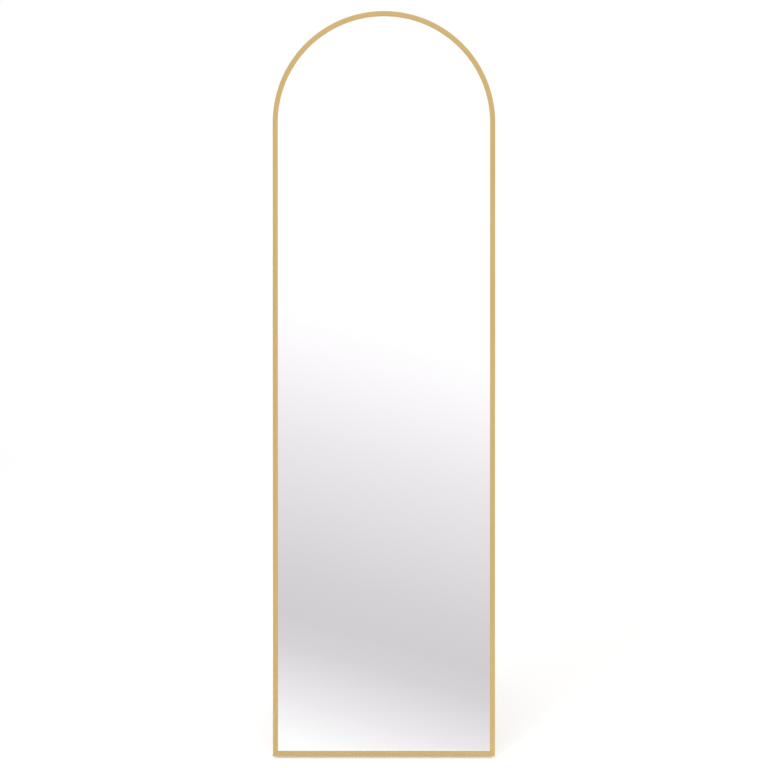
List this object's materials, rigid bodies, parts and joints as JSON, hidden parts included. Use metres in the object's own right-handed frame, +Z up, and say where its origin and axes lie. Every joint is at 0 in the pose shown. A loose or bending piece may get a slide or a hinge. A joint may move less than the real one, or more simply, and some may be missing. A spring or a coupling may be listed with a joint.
{
  "type": "floor mirror",
  "caption": "Arched full-length floor mirror in a slim gold metal frame, leaning back on a folding rear stand.",
  "frame": {"origin": "middle of the footprint on the floor, with the stand open", "axes": "+Z up; the mirror faces -Y and leans back towards +Y; +X to the right of someone looking into the mirror"},
  "size_m": [0.508, 0.3666, 1.6776],
  "materials": {
    "gold_anodised": "satin",
    "mirror_glass": "polished",
    "foam": "matte",
    "fibreboard": "matte",
    "mill_aluminium": "satin",
    "cast_zinc": "satin",
    "zinc_plated": "satin",
    "black_paint": "satin",
    "black_rubber": "matte",
    "black_nylon": "matte",
    "white_nylon": "satin",
    "clear_rubber": "satin"
  },
  "bodies": {
    "mirror": {"frame_arch": "gold_anodised", "frame_bottom_rail": "gold_anodised", "mirror_pane": "mirror_glass", "cushion_sheet": "foam", "backboard": "fibreboard", "brace_upper": "mill_aluminium", "brace_middle": "mill_aluminium", "brace_lower": "mill_aluminium", "corner_key_left": "cast_zinc", "corner_screw_left_stile": "zinc_plated", "corner_screw_left_rail": "zinc_plated", "brace_screw_upper_left": "zinc_plated", "brace_screw_middle_left": "zinc_plated", "brace_screw_lower_left": "zinc_plated", "corner_key_right": "cast_zinc", "corner_screw_right_stile": "zinc_plated", "corner_screw_right_rail": "zinc_plated", "brace_screw_upper_right": "zinc_plated", "brace_screw_middle_right": "zinc_plated", "brace_screw_lower_right": "zinc_plated", "hinge_bracket_left": "black_paint", "bracket_screw_left_inner": "zinc_plated", "bracket_screw_left_outer": "zinc_plated", "pivot_bolt_left": "zinc_plated", "lock_nut_left": "zinc_plated", "pivot_washer_left_inner": "white_nylon", "pivot_washer_left_outer": "white_nylon", "hinge_bracket_right": "black_paint", "bracket_screw_right_inner": "zinc_plated", "bracket_screw_right_outer": "zinc_plated", "pivot_bolt_right": "zinc_plated", "lock_nut_right": "zinc_plated", "pivot_washer_right_inner": "white_nylon", "pivot_washer_right_outer": "white_nylon", "hanger_strap_left": "zinc_plated", "hanger_screw_left": "zinc_plated", "foot_pad_left": "clear_rubber", "wall_bumper_left": "clear_rubber", "hanger_strap_right": "zinc_plated", "hanger_screw_right": "zinc_plated", "foot_pad_right": "clear_rubber", "wall_bumper_right": "clear_rubber"},
    "stand": {"stand_tube": "black_paint", "end_plug_left": "black_nylon", "foot_sleeve_left": "black_rubber", "end_plug_right": "black_nylon", "foot_sleeve_right": "black_rubber"},
    "ring_left": {"hanger_ring_left": "zinc_plated"},
    "ring_right": {"hanger_ring_right": "zinc_plated"}
  },
  "joints": [
    {"name": "stand_fold", "type": "hinge", "parent": "mirror", "child": "stand", "pos_m": [0, 0.05737, 1.01959], "axis": [-1, 0, 0], "range_deg": [0, 17.5]},
    {"name": "ring_left_swing", "type": "hinge", "parent": "mirror", "child": "ring_left", "pos_m": [-0.15, 0.11738, 1.39096], "axis": [1, 0, 0], "range_deg": [-8, 165]},
    {"name": "ring_right_swing", "type": "hinge", "parent": "mirror", "child": "ring_right", "pos_m": [0.15, 0.11738, 1.39096], "axis": [1, 0, 0], "range_deg": [-8, 165]}
  ]
}
